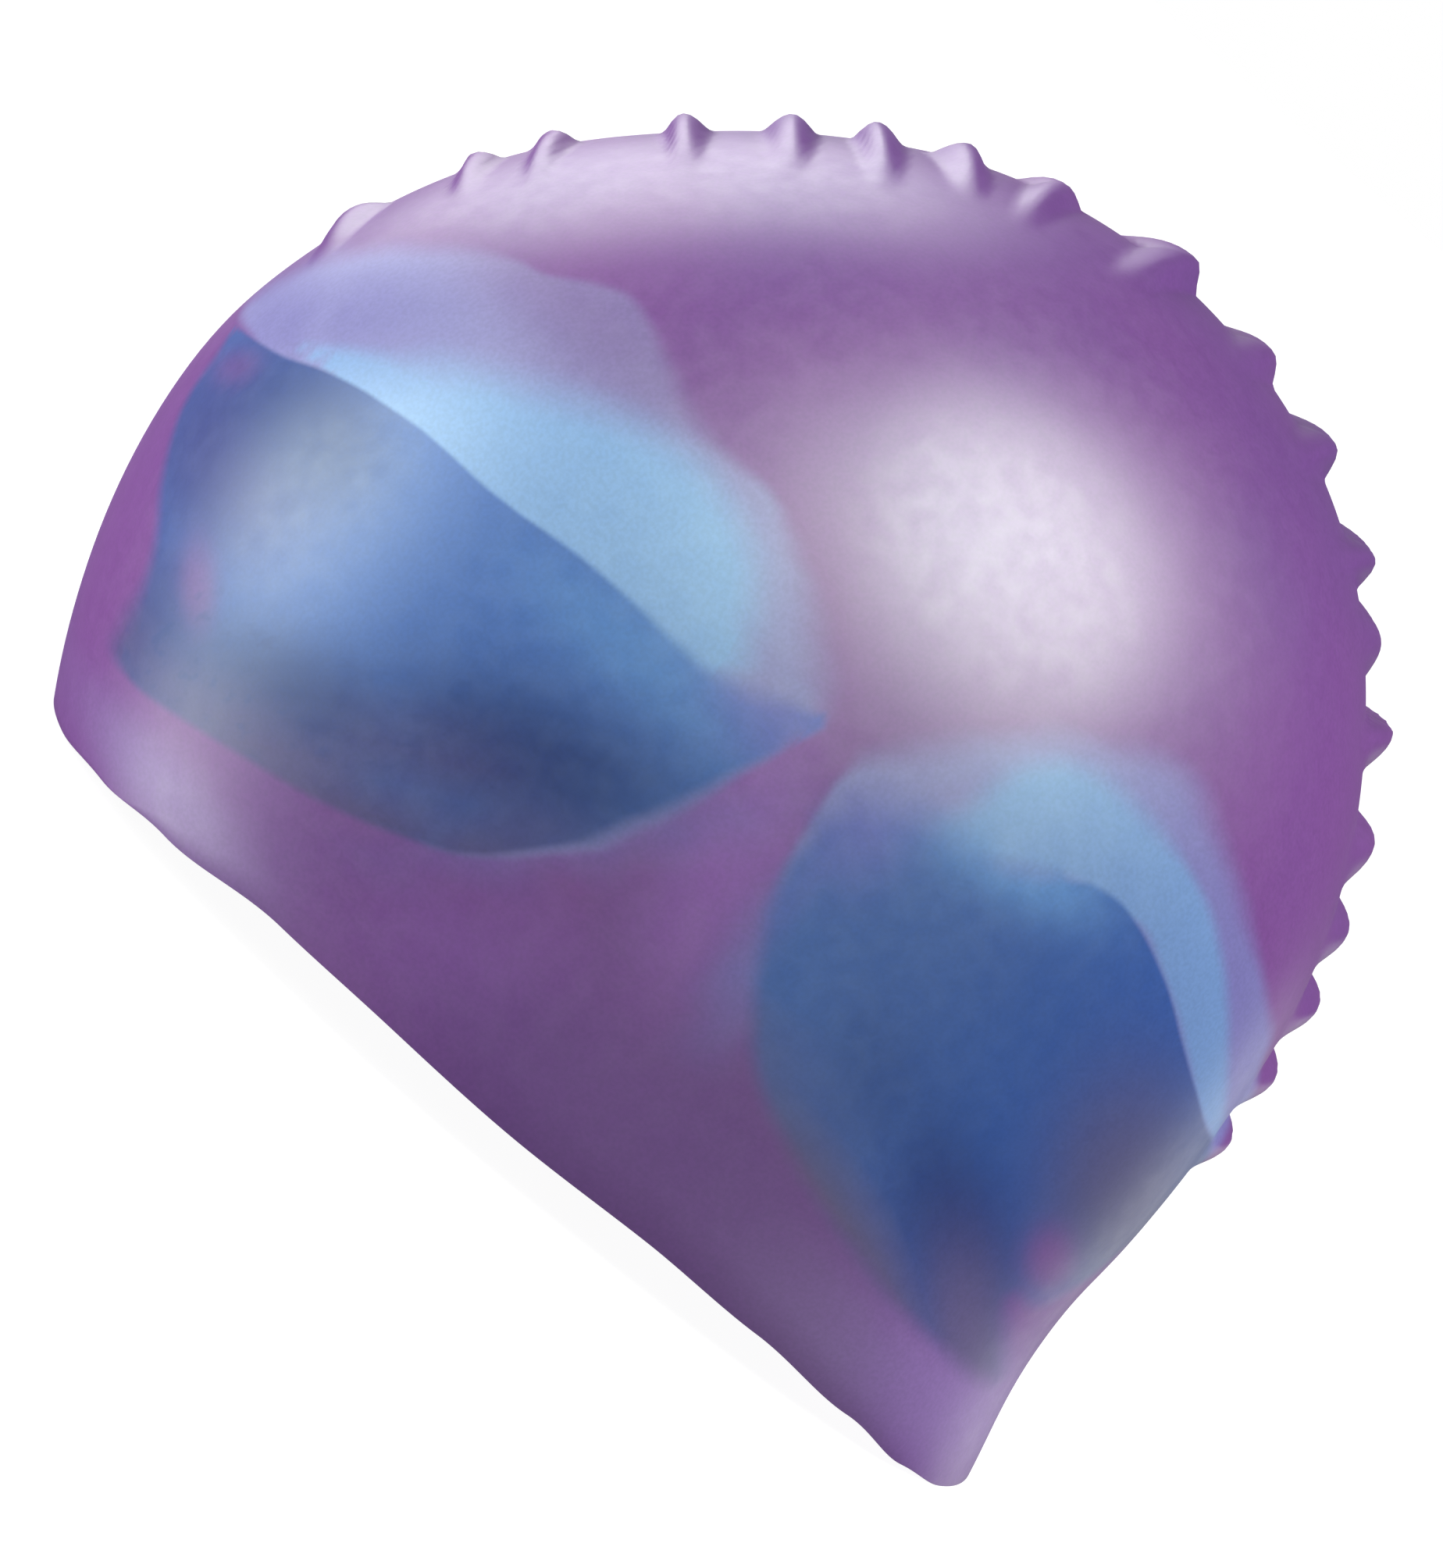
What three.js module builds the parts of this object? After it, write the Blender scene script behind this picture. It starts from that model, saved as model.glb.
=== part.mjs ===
// Swim cap: one silicone skin in the form it has when it is stretched over a head, standing on its rim.
// Millimetres, +Z up. +X points to the nape, -X to the forehead and -Y to the wearer's left ear.
import * as THREE from 'three';
import { mergeVertices } from 'three/addons/utils/BufferGeometryUtils.js';

const CAP_LENGTH = 199.9; // forehead to nape, without the puckers
const CAP_WIDTH = 150; // over both sides
const CAP_HEIGHT = 156.5; // rim to crown, without the puckers
const WALL = 1; // thickness of the skin
const RIM_ARCH = 6.8; // how far the rim rises over the ears
const PUCKER_HEIGHT = 4.2; // a full pucker, above the taut seam
const PUCKER_LENGTH = 13.3; // the longest pucker, along the seam
const PUCKER_REACH = 31; // the pucker that runs farthest down the side
const PUCKER_NARROWING = 0.5; // share of its length that a pucker loses on the way down
const FULLNESS = 2.25; // exponent of the section across: 2 is an ellipse, more is boxier
const SEAM_INFLUENCE = 3; // how fast the outline of the seam gives way to that of the sides
const COLUMN_PITCH = 6; // longest stretch between two columns of the mesh along the seam
const RIM_PITCH = 8; // the same along the rim

// The outline is drawn around this point, as shares of the length and the height.
const CENTRE = { along: 0.02, up: 0.4 };

// Distance from the centre to the outline, as a share of the length or the height.
// The angle is 0 toward the nape and 90 at the crown; rows under the rim only steer the sides.
const OUTLINE = [
  { angle: -90, seam: 0.933, side: 0.933 },
  { angle: -64, seam: 0.817, side: 0.814 },
  { angle: -46, seam: 0.695, side: 0.702 },
  { angle: -36, seam: 0.564, side: 0.57 },
  { angle: -27, seam: 0.499, side: 0.511 },
  { angle: -18, seam: 0.47, side: 0.478 },
  { angle: -8, seam: 0.45, side: 0.456 },
  { angle: 4, seam: 0.44, side: 0.444 },
  { angle: 16, seam: 0.446, side: 0.448 },
  { angle: 28, seam: 0.461, side: 0.462 },
  { angle: 40, seam: 0.484, side: 0.485 },
  { angle: 52, seam: 0.515, side: 0.515 },
  { angle: 64, seam: 0.554, side: 0.554 },
  { angle: 76, seam: 0.585, side: 0.583 },
  { angle: 90, seam: 0.6, side: 0.598 },
  { angle: 104, seam: 0.588, side: 0.588 },
  { angle: 118, seam: 0.556, side: 0.556 },
  { angle: 132, seam: 0.53, side: 0.53 },
  { angle: 146, seam: 0.518, side: 0.518 },
  { angle: 158, seam: 0.512, side: 0.512 },
  { angle: 170, seam: 0.512, side: 0.512 },
  { angle: 182, seam: 0.521, side: 0.521 },
  { angle: 194, seam: 0.532, side: 0.532 },
  { angle: 204, seam: 0.547, side: 0.547 },
  { angle: 214, seam: 0.569, side: 0.568 },
  { angle: 225, seam: 0.603, side: 0.601 },
  { angle: 244, seam: 0.675, side: 0.683 },
];

// Height of the rim above the table as a share of RIM_ARCH, by the angle around the cap.
// The angle is 0 at the nape and 180 at the forehead, and both sides are alike.
const RIM = [
  { angle: 0, rise: 0 },
  { angle: 30, rise: 0 },
  { angle: 40, rise: 0.18 },
  { angle: 50, rise: 0.54 },
  { angle: 62, rise: 0.84 },
  { angle: 75, rise: 0.97 },
  { angle: 90, rise: 0.9 },
  { angle: 105, rise: 0.95 },
  { angle: 118, rise: 0.9 },
  { angle: 134, rise: 0.46 },
  { angle: 146, rise: 0.18 },
  { angle: 160, rise: 0 },
  { angle: 180, rise: 0 },
];

// The puckers along the seam, from the forehead to the nape.
// place: share of the seam's length; height, length and reach: shares of the sizes above;
// peak: where the top lies between the front foot and the rear foot;
// lean: how far the fold drifts toward the forehead for each millimetre down the side.
const PUCKERS = [
  { place: 0.207, height: 0.55, length: 0.86, peak: 0.51, reach: 0.55, lean: 0.4 },
  { place: 0.255, height: 0.53, length: 0.54, peak: 0.44, reach: 0.7, lean: 0.16 },
  { place: 0.282, height: 0.6, length: 0.54, peak: 0.49, reach: 0.85, lean: 0.16 },
  { place: 0.328, height: 0.71, length: 0.58, peak: 0.43, reach: 0.95, lean: 0 },
  { place: 0.364, height: 0.71, length: 0.66, peak: 0.53, reach: 0.9, lean: 0 },
  { place: 0.395, height: 0.76, length: 0.62, peak: 0.43, reach: 0.93, lean: -0.07 },
  { place: 0.424, height: 0.68, length: 0.68, peak: 0.6, reach: 0.82, lean: -0.08 },
  { place: 0.461, height: 0.62, length: 0.68, peak: 0.55, reach: 0.9, lean: 0.2 },
  { place: 0.508, height: 1, length: 0.85, peak: 0.7, reach: 1, lean: 0.3 },
  { place: 0.552, height: 0.76, length: 0.77, peak: 0.6, reach: 0.7, lean: 0.22 },
  { place: 0.591, height: 0.92, length: 0.74, peak: 0.6, reach: 0.84, lean: 0.2 },
  { place: 0.633, height: 0.9, length: 0.68, peak: 0.58, reach: 0.78, lean: 0.22 },
  { place: 0.662, height: 0.68, length: 0.92, peak: 0.54, reach: 0.74, lean: 0.22 },
  { place: 0.699, height: 1.1, length: 0.72, peak: 0.3, reach: 0.7, lean: 0.1 },
  { place: 0.737, height: 0.95, length: 0.98, peak: 0.38, reach: 0.66, lean: 0 },
  { place: 0.768, height: 0.9, length: 0.96, peak: 0.4, reach: 0.66, lean: 0 },
  { place: 0.796, height: 1, length: 0.88, peak: 0.38, reach: 0.66, lean: -0.1 },
  { place: 0.826, height: 1, length: 0.94, peak: 0.38, reach: 0.62, lean: -0.1 },
  { place: 0.854, height: 1, length: 0.9, peak: 0.38, reach: 0.6, lean: -0.1 },
];

// Rings of the mesh from the edge of a side (0) to its hub (1), and how many columns each keeps.
const RINGS = [
  { inward: 0, every: 1 },
  { inward: 0.014, every: 1 },
  { inward: 0.034, every: 1 },
  { inward: 0.06, every: 1 },
  { inward: 0.1, every: 1 },
  { inward: 0.145, every: 1 },
  { inward: 0.195, every: 1 },
  { inward: 0.28, every: 2 },
  { inward: 0.42, every: 2 },
  { inward: 0.58, every: 4 },
  { inward: 0.74, every: 4 },
  { inward: 0.88, every: 8 },
];

// The hub lies this far over the middle of the side, in degrees of turn.
const HUB_TURN = 25;

const DEGREE = Math.PI / 180;

// One cubic through neighbouring rows of a table, t running from 0 to 1 between the middle two.
function cubicThrough(rows, column, x) {
  const [before, from, to, after] = rows;
  const span = to.angle - from.angle;
  const t = (x - from.angle) / span;
  const slopeFrom = (to[column] - before[column]) / (to.angle - before.angle);
  const slopeTo = (after[column] - from[column]) / (after.angle - from.angle);
  const ends = (2 * t ** 3 - 3 * t ** 2 + 1) * from[column] + (3 * t ** 2 - 2 * t ** 3) * to[column];
  const slopes = (t ** 3 - 2 * t ** 2 + t) * slopeFrom + (t ** 3 - t ** 2) * slopeTo;
  return ends + slopes * span;
}

const turned = (row, turn) => ({ ...row, angle: row.angle + turn });
const OUTLINE_ROUND = [
  ...OUTLINE.slice(-2).map((row) => turned(row, -360)),
  ...OUTLINE,
  ...OUTLINE.slice(0, 3).map((row) => turned(row, 360)),
];

function outlineShare(angle, column) {
  const first = OUTLINE[0].angle;
  const x = first + ((((angle - first) % 360) + 360) % 360);
  let row = 1;
  while (OUTLINE_ROUND[row + 1].angle <= x) row += 1;
  return cubicThrough(OUTLINE_ROUND.slice(row - 1, row + 3), column, x);
}

// The outline at one angle: at the seam where across is 0, at the middle of a side where it is 1.
function outlineAt(angle, across) {
  const nearSeam = (1 - across ** FULLNESS) ** (SEAM_INFLUENCE / 2);
  const side = outlineShare(angle, 'side');
  return side + (outlineShare(angle, 'seam') - side) * nearSeam;
}

// A point of the taut skin on the +Y side. turn is 0 on the seam and 90 degrees at the middle of the side.
function skinPoint(angle, turn) {
  const across = Math.sin(turn * DEGREE) ** (2 / FULLNESS);
  const inward = Math.cos(turn * DEGREE) ** (2 / FULLNESS);
  const radius = outlineAt(angle, across) * inward;
  return new THREE.Vector3(
    (CENTRE.along + radius * Math.cos(angle * DEGREE)) * CAP_LENGTH,
    (across * CAP_WIDTH) / 2,
    (CENTRE.up + radius * Math.sin(angle * DEGREE)) * CAP_HEIGHT,
  );
}

// Outside the skin this is above 1 and inside it is below 1.
function skinField(x, y, z) {
  const along = x / CAP_LENGTH - CENTRE.along;
  const up = z / CAP_HEIGHT - CENTRE.up;
  const across = Math.min(Math.abs(y) / (CAP_WIDTH / 2), 1);
  const angle = Math.atan2(up, along) / DEGREE;
  const inPlane = Math.hypot(along, up) / outlineAt(angle, across);
  return inPlane ** FULLNESS + (Math.abs(y) / (CAP_WIDTH / 2)) ** FULLNESS;
}

function skinNormal(point) {
  const { x, y, z } = point;
  const step = WALL / 20;
  return new THREE.Vector3(
    skinField(x + step, y, z) - skinField(x - step, y, z),
    skinField(x, y + step, z) - skinField(x, y - step, z),
    skinField(x, y, z + step) - skinField(x, y, z - step),
  ).normalize();
}

function rimHeight(point) {
  const across = point.y / (CAP_WIDTH / 2);
  const along = (point.x / CAP_LENGTH - CENTRE.along) * 2;
  const angle = Math.atan2(across, along) / DEGREE;
  let row = 0;
  while (row < RIM.length - 2 && RIM[row + 1].angle < angle) row += 1;
  const from = RIM[row];
  const to = RIM[row + 1];
  const t = THREE.MathUtils.smoothstep(angle, from.angle, to.angle);
  return (from.rise + (to.rise - from.rise) * t) * RIM_ARCH;
}

const overRim = (angle, turn) => {
  const point = skinPoint(angle, turn);
  return point.z - rimHeight(point);
};

// Halves the stretch between an outside and an inside value until the place is exact enough.
function bisect(outside, inside, isInside) {
  let low = outside;
  let high = inside;
  for (let round = 0; round < 40; round += 1) {
    const middle = (low + high) / 2;
    if (isInside(middle)) high = middle;
    else low = middle;
  }
  return high;
}

// The turn at which a spoke leaves the rim, which is 0 where the spoke starts on the seam.
const edgeTurn = (angle) => (overRim(angle, 0) >= 0 ? 0 : bisect(0, 89, (turn) => overRim(angle, turn) >= 0));

const NAPE_ANGLE = bisect(-88, -4, (angle) => overRim(angle, 0) >= 0);
const FOREHEAD_ANGLE = bisect(268, 184, (angle) => overRim(angle, 0) >= 0);

// Lengths along a run of points, from its first one.
function runLengths(points) {
  const lengths = [0];
  for (let i = 1; i < points.length; i += 1) {
    lengths.push(lengths[i - 1] + points[i].distanceTo(points[i - 1]));
  }
  return lengths;
}

// A finely sampled edge: its angles run from one end to the other, with the length up to each.
function measuredEdge(fromAngle, toAngle) {
  const samples = 1200;
  const angles = [];
  for (let i = 0; i <= samples; i += 1) angles.push(fromAngle + ((toAngle - fromAngle) * i) / samples);
  const lengths = runLengths(angles.map((angle) => skinPoint(angle, edgeTurn(angle))));
  return { angles, lengths, total: lengths[samples] };
}

function readAcross(from, to, value) {
  let i = 1;
  while (i < from.length - 1 && from[i] < value) i += 1;
  const t = (value - from[i - 1]) / (from[i] - from[i - 1]);
  return to[i - 1] + (to[i] - to[i - 1]) * t;
}

const SEAM_EDGE = measuredEdge(FOREHEAD_ANGLE, NAPE_ANGLE);
const RIM_EDGE = measuredEdge(NAPE_ANGLE, FOREHEAD_ANGLE - 360);

const seamAngle = (length) => readAcross(SEAM_EDGE.lengths, SEAM_EDGE.angles, length);
const seamLength = (angle) => {
  const unwrapped = angle > 270 ? angle - 360 : angle;
  const onSeam = THREE.MathUtils.clamp(unwrapped, NAPE_ANGLE, FOREHEAD_ANGLE);
  return readAcross(SEAM_EDGE.angles.map((a) => -a), SEAM_EDGE.lengths, -onSeam);
};

// The feet and the top of a pucker on the seam.
function puckerStations(pucker) {
  const length = pucker.length * PUCKER_LENGTH;
  const start = pucker.place * SEAM_EDGE.total - length / 2;
  return { start, top: start + length * pucker.peak, end: start + length };
}

// How far the puckers lift the skin at a length along the seam and a distance down the side.
function puckerLift(along, down) {
  let lift = 0;
  for (const pucker of PUCKERS) {
    const reach = pucker.reach * PUCKER_REACH;
    if (down >= reach) continue;
    const { start, top, end } = puckerStations(pucker);
    const depth = down / reach;
    const fromTop = (along + pucker.lean * down - top) / (1 - PUCKER_NARROWING * depth);
    const t = fromTop < 0 ? fromTop / (start - top) : fromTop / (end - top);
    if (t >= 1) continue;
    const fade = (1 - depth ** 2) ** 2;
    const height = pucker.height * PUCKER_HEIGHT * Math.cos((t * Math.PI) / 2) ** 1.15 * fade;
    lift = Math.max(lift, height);
  }
  return lift;
}

// Columns of the mesh: at the feet, the flanks and the top of each pucker, and evenly between them.
function seamStations() {
  const marks = [0, SEAM_EDGE.total];
  for (const pucker of PUCKERS) {
    const { start, top, end } = puckerStations(pucker);
    marks.push(start, (start + top) / 2, top, (top + end) / 2, end);
  }
  const inside = marks.filter((mark) => mark >= 0 && mark <= SEAM_EDGE.total).sort((a, b) => a - b);
  const stations = [0];
  for (const mark of inside) {
    const last = stations[stations.length - 1];
    const gap = mark - last;
    if (gap < COLUMN_PITCH / 8) continue;
    const parts = Math.ceil(gap / COLUMN_PITCH);
    for (let i = 1; i <= parts; i += 1) stations.push(last + (gap * i) / parts);
  }
  stations[stations.length - 1] = SEAM_EDGE.total;
  return stations;
}

function columnAngles() {
  const angles = seamStations().map(seamAngle);
  const rimColumns = Math.ceil(RIM_EDGE.total / RIM_PITCH);
  for (let i = 1; i < rimColumns; i += 1) {
    angles.push(readAcross(RIM_EDGE.lengths, RIM_EDGE.angles, (RIM_EDGE.total * i) / rimColumns));
  }
  return angles;
}

// A side laid out flat: the angle stays, and the distance from the origin is 90 degrees less the turn.
const laidFlat = (angle, turn) => new THREE.Vector2(90 - turn, 0).rotateAround(new THREE.Vector2(), angle * DEGREE);
const HUB = laidFlat(90, 90 - HUB_TURN);

// The outer and the inner point of the skin at one node of the mesh, on the +Y side.
function skinPair(flat, onEdge) {
  const angle = flat.angle() / DEGREE;
  const turn = Math.max(0, 90 - flat.length());
  const onSeam = onEdge && turn < 1e-6;
  const taut = skinPoint(angle, onSeam ? 0 : turn);
  const normal = skinNormal(taut);
  if (onSeam) normal.setY(0).normalize();
  const outer = taut.clone().addScaledVector(normal, puckerLift(seamLength(angle), taut.y));
  const onRim = onEdge && Math.abs(overRim(angle, turn)) < WALL / 100;
  if (onRim) normal.setZ(0).normalize();
  return { outer, inner: outer.clone().addScaledVector(normal, -WALL) };
}

// Two neighbouring rings joined by triangles, each time across the shorter diagonal.
function stitch(outside, inside, place) {
  const faces = [];
  const node = (ring, k) => ring[k % ring.length];
  const apart = (a, b) => place(a).distanceTo(place(b));
  let i = 0;
  let j = 0;
  while (i < outside.length || j < inside.length) {
    const alongOutside = apart(node(outside, i + 1), node(inside, j));
    const alongInside = apart(node(outside, i), node(inside, j + 1));
    if (j === inside.length || (i < outside.length && alongOutside <= alongInside)) {
      faces.push([node(outside, i), node(outside, i + 1), node(inside, j)]);
      i += 1;
    } else {
      faces.push([node(outside, i), node(inside, j + 1), node(inside, j)]);
      j += 1;
    }
  }
  return faces;
}

// The nodes of one wall of one side, ring by ring, and the node at the middle of the side.
function layNodes(angles, wall, mirror, positions) {
  const addNode = (point) => {
    positions.push(point.x, point.y * mirror, point.z);
    return positions.length / 3 - 1;
  };
  const edge = angles.map((angle) => laidFlat(angle, edgeTurn(angle)));
  const rings = RINGS.map(({ inward, every }) => {
    const columns = edge.map((_, k) => k).filter((k) => k % every === 0);
    return columns.map((k) => addNode(skinPair(edge[k].clone().lerp(HUB, inward), inward === 0)[wall]));
  });
  return { rings, middle: addNode(skinPair(HUB, false)[wall]) };
}

function coverSide({ rings, middle }, place) {
  const faces = [];
  for (let ring = 1; ring < rings.length; ring += 1) faces.push(...stitch(rings[ring - 1], rings[ring], place));
  const last = rings[rings.length - 1];
  last.forEach((node, k) => faces.push([node, last[(k + 1) % last.length], middle]));
  return faces;
}

// The narrow face under the rim, between the outer and the inner edge.
function coverRim(outerEdge, innerEdge, seamColumns) {
  const faces = [];
  for (let k = seamColumns - 1; k < outerEdge.length; k += 1) {
    const next = (k + 1) % outerEdge.length;
    faces.push([outerEdge[k], innerEdge[k], innerEdge[next]]);
    faces.push([outerEdge[k], innerEdge[next], outerEdge[next]]);
  }
  return faces;
}

const flipped = (faces) => faces.map(([a, b, c]) => [c, b, a]);

function buildCapGeometry() {
  const angles = columnAngles();
  const seamColumns = seamStations().length;
  const positions = [];
  const triangles = [];
  const place = (node) => new THREE.Vector3().fromArray(positions, node * 3);
  for (const mirror of [1, -1]) {
    const outer = layNodes(angles, 'outer', mirror, positions);
    const inner = layNodes(angles, 'inner', mirror, positions);
    const faces = [
      ...coverSide(outer, place),
      ...flipped(coverSide(inner, place)),
      ...coverRim(outer.rings[0], inner.rings[0], seamColumns),
    ];
    triangles.push(...(mirror === 1 ? faces : flipped(faces)));
  }
  const geometry = new THREE.BufferGeometry();
  geometry.setAttribute('position', new THREE.Float32BufferAttribute(positions, 3));
  geometry.setIndex(triangles.flat());
  return mergeVertices(geometry, WALL / 1000);
}

const geometry = buildCapGeometry();
geometry.computeBoundingBox();
const middle = geometry.boundingBox.getCenter(new THREE.Vector3());
geometry.translate(-middle.x, 0, -geometry.boundingBox.min.z);
geometry.computeVertexNormals();

const silicone = new THREE.MeshStandardMaterial({ color: 0x8a60a2, roughness: 0.42, metalness: 0 });
const capShell = new THREE.Mesh(geometry, silicone);
capShell.name = 'cap_shell';

const swimCap = new THREE.Group();
swimCap.name = 'swim_cap';
swimCap.add(capShell);

export default swimCap;
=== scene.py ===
# %% [markdown]
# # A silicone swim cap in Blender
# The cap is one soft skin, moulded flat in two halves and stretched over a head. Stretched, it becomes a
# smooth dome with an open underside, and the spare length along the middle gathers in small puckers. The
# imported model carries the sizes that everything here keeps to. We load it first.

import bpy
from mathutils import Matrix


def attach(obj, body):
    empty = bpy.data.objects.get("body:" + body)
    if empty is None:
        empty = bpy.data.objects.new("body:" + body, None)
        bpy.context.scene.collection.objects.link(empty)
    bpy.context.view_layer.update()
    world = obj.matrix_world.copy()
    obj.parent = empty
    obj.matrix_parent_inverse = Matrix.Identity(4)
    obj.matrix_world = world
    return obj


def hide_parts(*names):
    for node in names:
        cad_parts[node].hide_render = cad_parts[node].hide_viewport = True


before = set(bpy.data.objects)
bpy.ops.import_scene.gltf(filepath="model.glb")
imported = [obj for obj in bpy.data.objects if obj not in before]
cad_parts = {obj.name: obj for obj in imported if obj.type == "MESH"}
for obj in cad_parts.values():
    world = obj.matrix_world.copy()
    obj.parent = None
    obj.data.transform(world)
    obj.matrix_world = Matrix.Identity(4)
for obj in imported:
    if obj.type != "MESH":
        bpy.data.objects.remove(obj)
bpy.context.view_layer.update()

# %% [markdown]
# ## The outline of the cap
# Seen from the side, the cap is a closed curve around one point. The curve could be drawn with a handful of
# Bezier handles, but a table of distances against angles is easier to measure and to correct. Each row holds
# the distance at the middle seam and at the sides, as shares of the cap's length and height. A cubic through
# the rows and a soft running average leave no flat spots, which gloss would show at once.

# %% Outline tables and the curve through them
import bpy
import bmesh
import numpy as np

CAP_LENGTH = 199.9
CAP_WIDTH = 150.0
CAP_HEIGHT = 156.5
CENTRE_ALONG = 0.02
CENTRE_UP = 0.4

OUTLINE = np.array([
    # angle, seam, side
    (-90, 0.933, 0.933), (-64, 0.817, 0.814), (-46, 0.695, 0.702), (-36, 0.564, 0.570), (-27, 0.499, 0.511),
    (-18, 0.470, 0.478), (-8, 0.450, 0.456), (4, 0.440, 0.444), (16, 0.446, 0.448), (28, 0.461, 0.462),
    (40, 0.484, 0.485), (52, 0.515, 0.515), (64, 0.554, 0.554), (76, 0.585, 0.583), (90, 0.600, 0.598),
    (104, 0.588, 0.588), (118, 0.556, 0.556), (132, 0.530, 0.530), (146, 0.518, 0.518), (158, 0.512, 0.512),
    (170, 0.512, 0.512), (182, 0.521, 0.521), (194, 0.532, 0.532), (204, 0.547, 0.547), (214, 0.569, 0.568),
    (225, 0.603, 0.601), (244, 0.675, 0.683),
])
FINE_ANGLES = np.arange(-90, 270, 0.5)


def curve_through(rows, column, softness=2.5):
    """Distance at each fine angle: a cubic through the rows, averaged over a few degrees."""
    x = np.concatenate([rows[-2:, 0] - 360, rows[:, 0], rows[:3, 0] + 360])
    y = np.concatenate([rows[-2:, column], rows[:, column], rows[:3, column]])
    slope = (y[2:] - y[:-2]) / (x[2:] - x[:-2])
    i = np.searchsorted(x, FINE_ANGLES, side="right") - 1
    span = x[i + 1] - x[i]
    t = (FINE_ANGLES - x[i]) / span
    ends = y[i] + (y[i + 1] - y[i]) * (3 * t**2 - 2 * t**3)
    slopes = (t**3 - 2 * t**2 + t) * slope[i - 1] + (t**3 - t**2) * slope[i]
    values = ends + slopes * span
    offsets = np.arange(-20, 21)
    weights = np.exp(-0.5 * (offsets * 0.5 / softness) ** 2)
    padded = np.concatenate([values[-20:], values, values[:20]])
    return np.convolve(padded, weights / weights.sum(), mode="valid")


SEAM_CURVE = curve_through(OUTLINE, 1)
SIDE_CURVE = curve_through(OUTLINE, 2)


def read_curve(curve, angle):
    wrapped = np.mod(angle + 90, 360) - 90
    return np.interp(wrapped, np.append(FINE_ANGLES, 270), np.append(curve, curve[0]))


print("outline from", SEAM_CURVE.min().round(3), "to", SEAM_CURVE.max().round(3), "of the cap's size")

# %% [markdown]
# ## The section across
# Cut from side to side, a head and the cap on it are fuller than an ellipse. A superellipse with an exponent
# a little over 2 gives that. A point of the skin is named by two angles: one around the outline, and one, the
# turn, that runs from 0 on the seam to 90 degrees at the middle of a side.

# %% The taut skin
FULLNESS = 2.25
SEAM_INFLUENCE = 3.0


def outline_at(angle, across):
    near_seam = np.clip(1 - across**FULLNESS, 0, 1) ** (SEAM_INFLUENCE / 2)
    side = read_curve(SIDE_CURVE, angle)
    return side + (read_curve(SEAM_CURVE, angle) - side) * near_seam


def skin_point(angle, turn):
    """Points of the taut skin in millimetres, on the side where Y is positive."""
    across = np.sin(np.radians(turn)) ** (2 / FULLNESS)
    inward = np.cos(np.radians(turn)) ** (2 / FULLNESS)
    radius = outline_at(angle, across) * inward
    x = (CENTRE_ALONG + radius * np.cos(np.radians(angle))) * CAP_LENGTH
    z = (CENTRE_UP + radius * np.sin(np.radians(angle))) * CAP_HEIGHT
    return np.stack([x, across * CAP_WIDTH / 2, z], axis=-1)


def skin_field(points):
    """1 on the skin, less inside and more outside."""
    along = points[..., 0] / CAP_LENGTH - CENTRE_ALONG
    up = points[..., 2] / CAP_HEIGHT - CENTRE_UP
    across = np.minimum(np.abs(points[..., 1]) / (CAP_WIDTH / 2), 1)
    angle = np.degrees(np.arctan2(up, along))
    return (np.hypot(along, up) / outline_at(angle, across)) ** FULLNESS + across**FULLNESS


def skin_normal(points, step=0.05):
    slopes = [skin_field(points + axis * step) - skin_field(points - axis * step) for axis in np.eye(3)]
    normal = np.stack(slopes, axis=-1)
    return normal / np.linalg.norm(normal, axis=-1, keepdims=True)


print("crown at", skin_point(np.array(90.0), np.array(0.0)).round(1), "mm")

# %% [markdown]
# ## The rim
# The rim is cut level at the forehead and at the nape and rises a little over the ears. It is where the skin
# ends, so we look for the turn at which each spoke of the side reaches it, halving the stretch until it is
# exact.

# %% Where the skin ends
RIM_ARCH = 6.8
RIM_RISE = np.array([
    # angle around the cap, share of the arch
    (0, 0.0), (30, 0.0), (40, 0.18), (50, 0.54), (62, 0.84), (75, 0.97), (90, 0.90),
    (105, 0.95), (118, 0.90), (134, 0.46), (146, 0.18), (160, 0.0), (180, 0.0),
])


def smooth(t):
    t = np.clip(t, 0, 1)
    return t * t * (3 - 2 * t)


def rim_height(points):
    across = np.abs(points[..., 1]) / (CAP_WIDTH / 2)
    along = (points[..., 0] / CAP_LENGTH - CENTRE_ALONG) * 2
    angle = np.degrees(np.arctan2(across, along))
    row = np.clip(np.searchsorted(RIM_RISE[:, 0], angle, side="right") - 1, 0, len(RIM_RISE) - 2)
    start, end = RIM_RISE[row], RIM_RISE[row + 1]
    t = smooth((angle - start[..., 0]) / (end[..., 0] - start[..., 0]))
    return (start[..., 1] + (end[..., 1] - start[..., 1]) * t) * RIM_ARCH


def halve(outside, inside, is_inside):
    low = np.array(outside, dtype=float)
    high = np.array(inside, dtype=float)
    for _ in range(40):
        middle = (low + high) / 2
        good = is_inside(middle)
        high = np.where(good, middle, high)
        low = np.where(good, low, middle)
    return high


def over_rim(angle, turn):
    point = skin_point(angle, turn)
    return point[..., 2] - rim_height(point)


def edge_turn(angle):
    found = halve(np.zeros_like(angle), np.full_like(angle, 89.0), lambda turn: over_rim(angle, turn) >= 0)
    return np.where(over_rim(angle, np.zeros_like(angle)) >= 0, 0.0, found)


NAPE_ANGLE = float(halve(-88, -4, lambda angle: over_rim(angle, 0.0) >= 0))
FOREHEAD_ANGLE = float(halve(268, 184, lambda angle: over_rim(angle, 0.0) >= 0))
print("the seam runs from", round(FOREHEAD_ANGLE, 1), "to", round(NAPE_ANGLE, 1), "degrees")

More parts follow.
